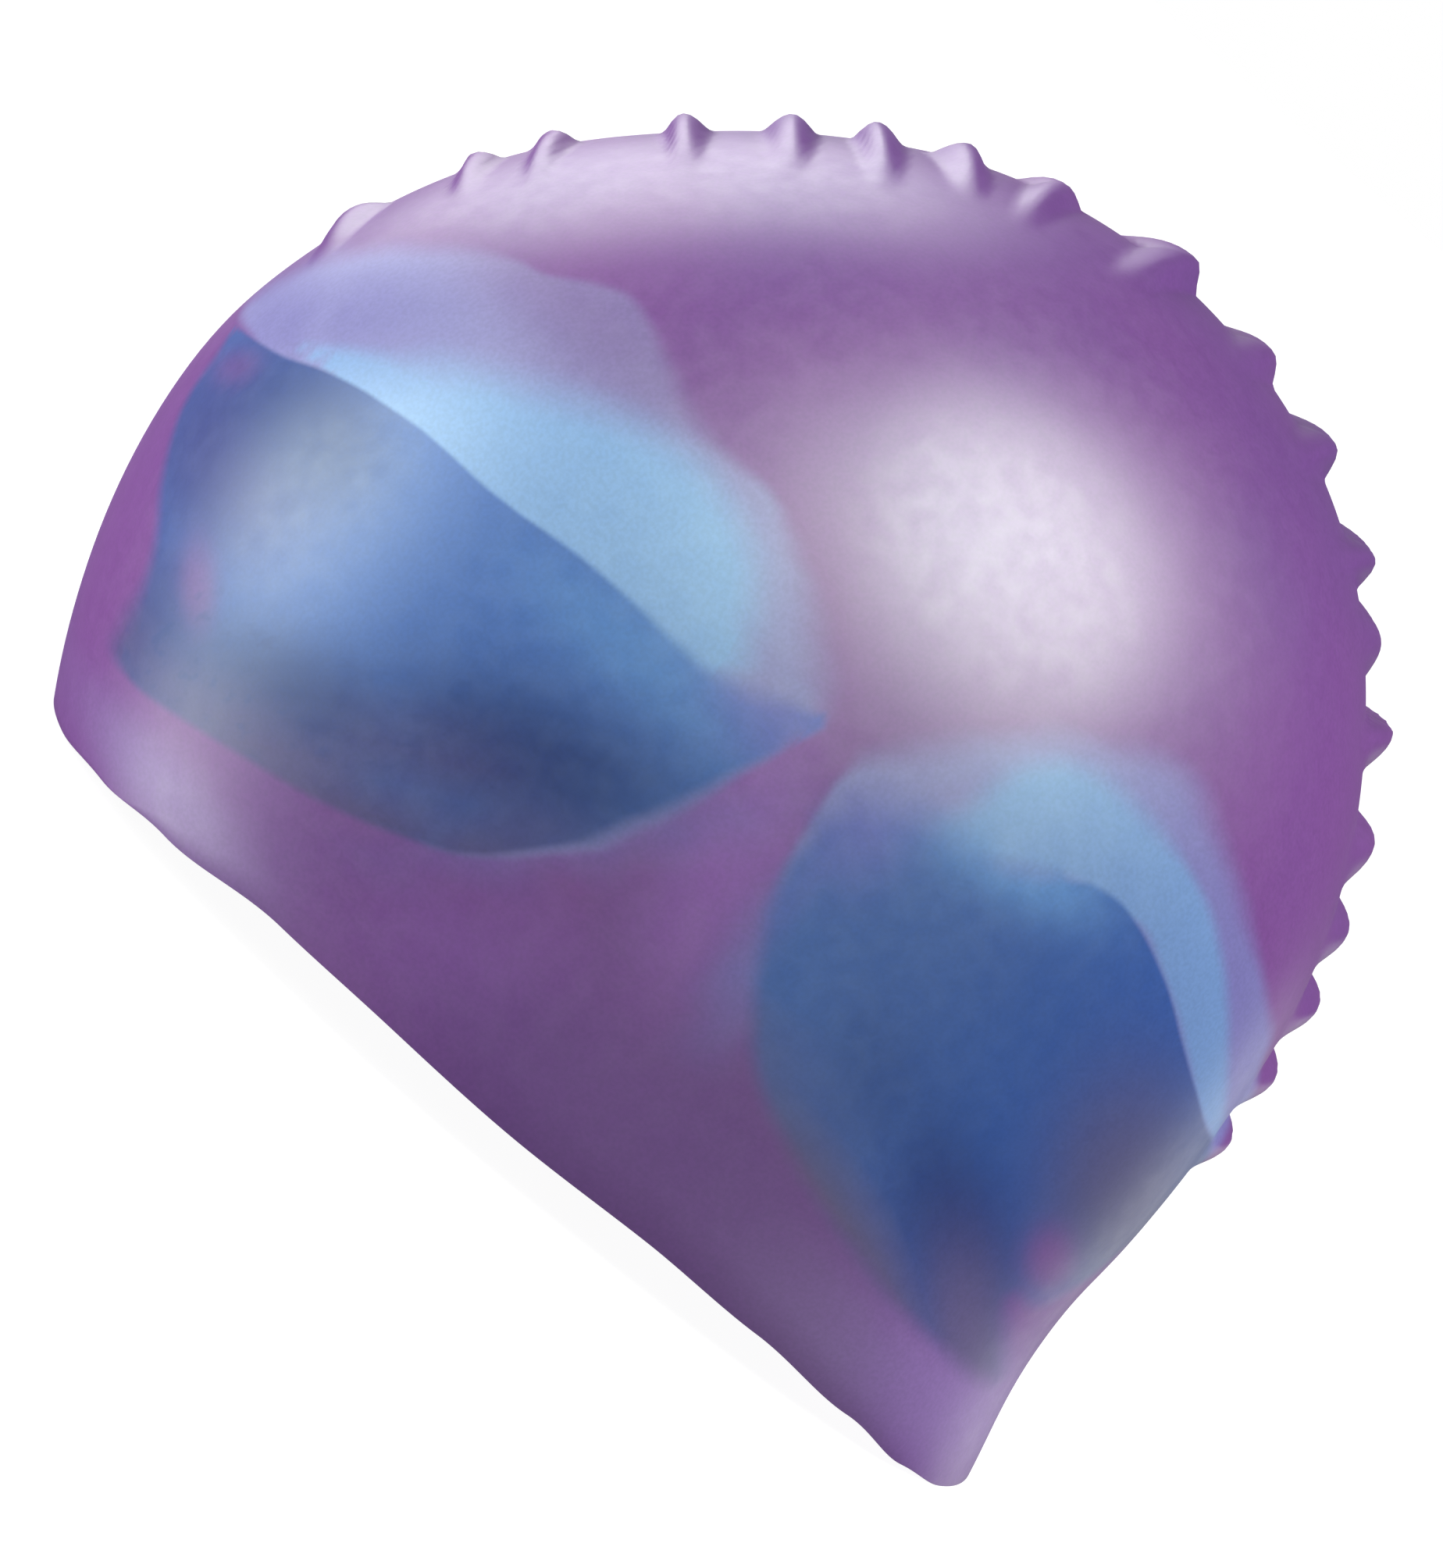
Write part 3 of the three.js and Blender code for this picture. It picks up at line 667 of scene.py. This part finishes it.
def pearl_silicone():
    material = bpy.data.materials.new("pearl silicone")
    material.use_nodes = True
    tree = material.node_tree
    tree.nodes.clear()
    here = add(tree, "ShaderNodeTexCoord").outputs["Object"]

    def noise(scale, detail=2.0, stretch=(1, 1, 1), turn=(0, 0, 0)):
        mapped = add(tree, "ShaderNodeMapping", {"Vector": here, "Scale": stretch, "Rotation": turn})
        inputs = {"Vector": mapped.outputs[0], "Scale": scale, "Detail": detail}
        return add(tree, "ShaderNodeTexNoise", inputs).outputs["Fac"]

    def drawn_out(scale, length, turn):
        """Noise drawn out along one direction of the side, as colour that was dragged."""
        along = {"Vector": here, "Scale": (length, 1, 1), "Rotation": (0, turn, 0)}
        mapped = add(tree, "ShaderNodeMapping", along, vector_type="TEXTURE")
        return add(tree, "ShaderNodeTexNoise", {"Vector": mapped.outputs[0], "Scale": scale}).outputs["Fac"]

    streaks = noise(60, 3.0, stretch=(0.35, 1, 1.6), turn=(0, 0.35, 0))
    drift = noise(14, 2.0)
    grain = noise(1500, 1.0)

    def pool(name, waver):
        wobble = maths(tree, "MULTIPLY", maths(tree, "SUBTRACT", streaks, 0.5), waver)
        return ramp(tree, maths(tree, "ADD", stored(tree, name), wobble), -1.0, 1.0)

    deep = stored(tree, "deep")
    colour = mix_colour(tree, ramp(tree, drift, 0.35, 0.7), PURPLE, PURPLE_DEEP)
    # Painted shade: the lower middle of each side is darkened toward the rim.
    colour = mix_colour(tree, stored(tree, "painted_shade"), colour, PURPLE_DEEP)
    colour = mix_colour(tree, stored(tree, "plum"), colour, PLUM)
    colour = mix_colour(tree, stored(tree, "haze"), colour, HAZE)
    # Painted fill light: the purple near the rim is lightened.
    colour = mix_colour(tree, stored(tree, "painted_fill_light"), colour, PAINTED_FILL_LIGHT)
    milk = mix_colour(tree, stored(tree, "thin"), mix_colour(tree, deep, FILM, DEEP_FILM), THIN_FILM)
    colour = mix_colour(tree, pool("film", 1.2), colour, milk)
    colour = mix_colour(tree, pool("band", 1.0), colour, mix_colour(tree, deep, BAND, DEEP_BAND))
    body = mix_colour(tree, deep, BLUE, DEEP_BLUE)
    tints = {
        "sky": SKY, "dusk": DUSK, "navy": NAVY, "slate": SLATE,
        "lilac": LILAC, "grey": GREY, "ash": ASH, "rose": ROSE,
    }
    for name, tint in tints.items():
        body = mix_colour(tree, stored(tree, name), body, tint)
    wisp = ramp(tree, drawn_out(480, 7.0, -0.77), 0.52, 0.72, 0.0, 0.6)
    body = mix_colour(tree, maths(tree, "MULTIPLY", wisp, stored(tree, "wisps")), body, NAVY)
    colour = mix_colour(tree, pool("core", 0.8), colour, body)
    colour = mix_colour(tree, 1.0, colour, ramp(tree, grain, 0.2, 0.8, 0.93, 1.07), how="MULTIPLY")

    split = add(tree, "ShaderNodeSeparateXYZ", {"Vector": here})
    off_seam = maths(tree, "ABSOLUTE", split.outputs["Y"])
    line = ramp(tree, off_seam, 0.08 * MM, 0.35 * MM, 1.0, 0.0)
    colour = mix_colour(tree, maths(tree, "MULTIPLY", line, 0.55), colour, LINE_SHADE)

    relief = maths(tree, "ADD", maths(tree, "MULTIPLY", grain, 0.25), maths(tree, "MULTIPLY", line, 2.0))
    bump = add(tree, "ShaderNodeBump", {"Strength": 0.2, "Distance": 0.1 * MM, "Height": relief})
    rough = ramp(tree, noise(300, 2.0), 0.2, 0.8, 0.38, 0.44)
    shader = add(tree, "ShaderNodeBsdfPrincipled", {
        "Base Color": colour, "Roughness": rough, "Normal": bump.outputs[0],
        "IOR": 2.1, "Specular Tint": (0.86, 1.0, 0.82, 1.0),
    })
    output = add(tree, "ShaderNodeOutputMaterial")
    tree.links.new(shader.outputs[0], output.inputs["Surface"])
    return material


outside = pearl_silicone()
print(outside.name, "has", len(outside.node_tree.nodes), "nodes")

# %% [markdown]
# ## The inside of the cap
# The colours go through the wall, but the inner face was against the mould's core and is duller and powdery.
# It gets the purple with a light bloom, and the pools show through as a faint blue.

# %% The inside
BLOOM = (0.280, 0.170, 0.380)
SHINING_THROUGH = (0.160, 0.180, 0.420)


def powdered_inside():
    material = bpy.data.materials.new("powdered inside")
    material.use_nodes = True
    tree = material.node_tree
    tree.nodes.clear()
    here = add(tree, "ShaderNodeTexCoord").outputs["Object"]
    cloudy = add(tree, "ShaderNodeTexNoise", {"Vector": here, "Scale": 22.0, "Detail": 4.0}).outputs["Fac"]
    powder = add(tree, "ShaderNodeTexNoise", {"Vector": here, "Scale": 900.0, "Detail": 2.0}).outputs["Fac"]
    colour = mix_colour(tree, ramp(tree, cloudy, 0.3, 0.7), PURPLE, BLOOM)
    film = ramp(tree, stored(tree, "film"), -2.0, 2.0, 0.0, 0.7)
    colour = mix_colour(tree, film, colour, SHINING_THROUGH)
    colour = mix_colour(tree, 1.0, colour, ramp(tree, powder, 0.2, 0.8, 0.88, 1.12), how="MULTIPLY")
    bump = add(tree, "ShaderNodeBump", {"Strength": 0.3, "Distance": 0.1 * MM, "Height": powder})
    shader = add(tree, "ShaderNodeBsdfPrincipled", {
        "Base Color": colour, "Roughness": 0.62, "Normal": bump.outputs[0], "IOR": 1.43,
    })
    output = add(tree, "ShaderNodeOutputMaterial")
    tree.links.new(shader.outputs[0], output.inputs["Surface"])
    return material


inside = powdered_inside()
cap_mesh.materials.append(outside)
cap_mesh.materials.append(inside)
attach(cap, "root")
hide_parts("cap_shell")
print("cap_skin carries", [material.name for material in cap_mesh.materials])

# %% [markdown]
# ## The camera
# The photograph was taken with a long lens, a little above the rim's plane and a little toward the forehead,
# and with the cap turned in the picture. A camera can be rolled just as well as the cap, so the cap stands on
# its rim and the camera rolls. Its axes are worked out from three angles.

# %% Camera
from mathutils import Matrix

AZIMUTH, ELEVATION, ROLL = np.radians([-6.381, 7.970, 41.022])
TARGET = np.array([2.604, 0.0, 54.107]) * MM
DISTANCE = 0.988
level_back = np.array([np.sin(AZIMUTH), -np.cos(AZIMUTH), 0.0])
back = np.cos(ELEVATION) * level_back + np.sin(ELEVATION) * np.array([0.0, 0.0, 1.0])
level_right = np.array([np.cos(AZIMUTH), np.sin(AZIMUTH), 0.0])
level_up = np.cross(back, level_right)
picture_right = np.cos(ROLL) * level_right + np.sin(ROLL) * level_up
picture_up = -np.sin(ROLL) * level_right + np.cos(ROLL) * level_up

camera_data = bpy.data.cameras.new("camera")
camera_data.lens = 150
camera_data.sensor_width = 36
camera_data.clip_end = 100
camera = bpy.data.objects.new("camera", camera_data)
bpy.context.scene.collection.objects.link(camera)
axes = np.eye(4)
axes[:3, 0], axes[:3, 1], axes[:3, 2] = picture_right, picture_up, back
axes[:3, 3] = TARGET + back * DISTANCE
camera.matrix_world = Matrix(axes.tolist())
bpy.context.scene.camera = camera
print("camera at", axes[:3, 3].round(3), "m")

# %% [markdown]
# ## Floor and surroundings
# A product photograph of this kind has a white ground. A light table gives the same: a pale floor that glows
# a little, so that only a faint shadow is left under the cap. The world is pale to the camera and dim for the
# cap, because a white room would wash out every dark colour in its gloss.

# %% Floor and world
floor_mesh = bpy.data.meshes.new("floor")
sheet = bmesh.new()
bmesh.ops.create_grid(sheet, x_segments=1, y_segments=1, size=30.0)
sheet.to_mesh(floor_mesh)
sheet.free()
floor = bpy.data.objects.new("floor", floor_mesh)
bpy.context.scene.collection.objects.link(floor)

paper = bpy.data.materials.new("light table")
paper.use_nodes = True
paper_shader = paper.node_tree.nodes["Principled BSDF"]
paper_shader.inputs["Base Color"].default_value = (0.15, 0.15, 0.15, 1.0)
paper_shader.inputs["Roughness"].default_value = 0.9
paper_shader.inputs["Specular IOR Level"].default_value = 0.1
paper_shader.inputs["Emission Color"].default_value = (1.0, 1.0, 1.0, 1.0)
paper_shader.inputs["Emission Strength"].default_value = 0.95
floor_mesh.materials.append(paper)
floor.visible_glossy = False
floor.visible_diffuse = False
floor.visible_shadow = False

world = bpy.data.worlds.new("studio")
world.use_nodes = True
bpy.context.scene.world = world
world.node_tree.nodes.clear()
seen = add(world.node_tree, "ShaderNodeLightPath").outputs["Is Camera Ray"]
dim = add(world.node_tree, "ShaderNodeBackground", {"Color": (1, 1, 1, 1), "Strength": 0.1}).outputs[0]
pale = add(world.node_tree, "ShaderNodeBackground", {"Color": (1, 1, 1, 1), "Strength": 1.0}).outputs[0]
chosen = add(world.node_tree, "ShaderNodeMixShader", {0: seen, 1: dim, 2: pale}).outputs[0]
world_output = add(world.node_tree, "ShaderNodeOutputWorld")
world.node_tree.links.new(chosen, world_output.inputs["Surface"])
bpy.context.scene.view_settings.view_transform = "Standard"
print("floor", tuple(round(size, 1) for size in floor.dimensions), "m")

# %% [markdown]
# ## Lights
# Gloss is drawn by the lights. Their places are given from the camera, in degrees to the right and degrees up
# in the picture, so that each highlight can be moved on its own. More than 90 degrees up is above and behind
# the cap. A big round lamp on the right draws the pale disc at the back of the head, and it is slightly green
# to clear the purple from it. Two boxes above draw the band along the crest, two on the left the sheen on the
# front pool and below it, and a weak one behind draws a fine light edge at the nape. All of these shape the
# gloss only. Wide, soft suns light the colour.

# %% Lights
LAMP_DISTANCE = 1.2


def toward(to_right, up):
    """The direction from the cap that lies so many degrees to the right of the camera and above it."""
    a, e = np.radians([to_right, up])
    return np.sin(a) * np.cos(e) * picture_right + np.sin(e) * picture_up + np.cos(a) * np.cos(e) * back


def aim(light, direction, distance):
    """Stands the light that way from the cap, facing it."""
    sideways = np.cross(picture_up, direction)
    sideways /= np.linalg.norm(sideways)
    upright = np.cross(direction, sideways)
    axes = np.eye(4)
    axes[:3, 0] = sideways
    axes[:3, 1] = upright
    axes[:3, 2] = direction
    axes[:3, 3] = TARGET + direction * distance
    light.matrix_world = Matrix(axes.tolist())


def place_box(name, to_right, up, power, width, height=None, colour=(1.0, 1.0, 1.0)):
    """A lamp that only gloss sees, round if it is given no height."""
    lamp = bpy.data.lights.new(name, "AREA")
    lamp.shape = "DISK" if height is None else "RECTANGLE"
    lamp.size = width
    lamp.size_y = height or width
    lamp.energy = power
    lamp.color = colour
    light = bpy.data.objects.new(name, lamp)
    aim(light, toward(to_right, up), LAMP_DISTANCE)
    light.visible_diffuse = False
    light.visible_camera = False
    bpy.context.scene.collection.objects.link(light)


def place_sun(name, to_right, up, strength, spread):
    """A light that only the colour sees, spread over so many degrees of the sky."""
    lamp = bpy.data.lights.new(name, "SUN")
    lamp.energy = strength
    lamp.angle = np.radians(spread)
    light = bpy.data.objects.new(name, lamp)
    aim(light, toward(to_right, up), LAMP_DISTANCE)
    light.visible_glossy = False
    bpy.context.scene.collection.objects.link(light)


place_box("round lamp", 35.5, 20, 24, 1.11, colour=(0.92, 1.0, 0.86))
place_box("box above", 6, 114, 4.0, 1.1, 0.8)
place_box("tall box above", 12, 122, 5.7, 0.7, 1.1)
place_box("box left", -64, 27, 7, 0.85)
place_box("low box left", -84, -5, 2.6, 0.5, 0.5)
place_box("edge box", 150, -30, 1.1, 0.7)
place_sun("right sun", 79, 10, 3.6, 50)
place_sun("left sun", -75, 38, 4.1, 50)
place_sun("low sun", 5, -50, 0.9, 60)
place_sun("back sun", 190, 30, 2.0, 50)
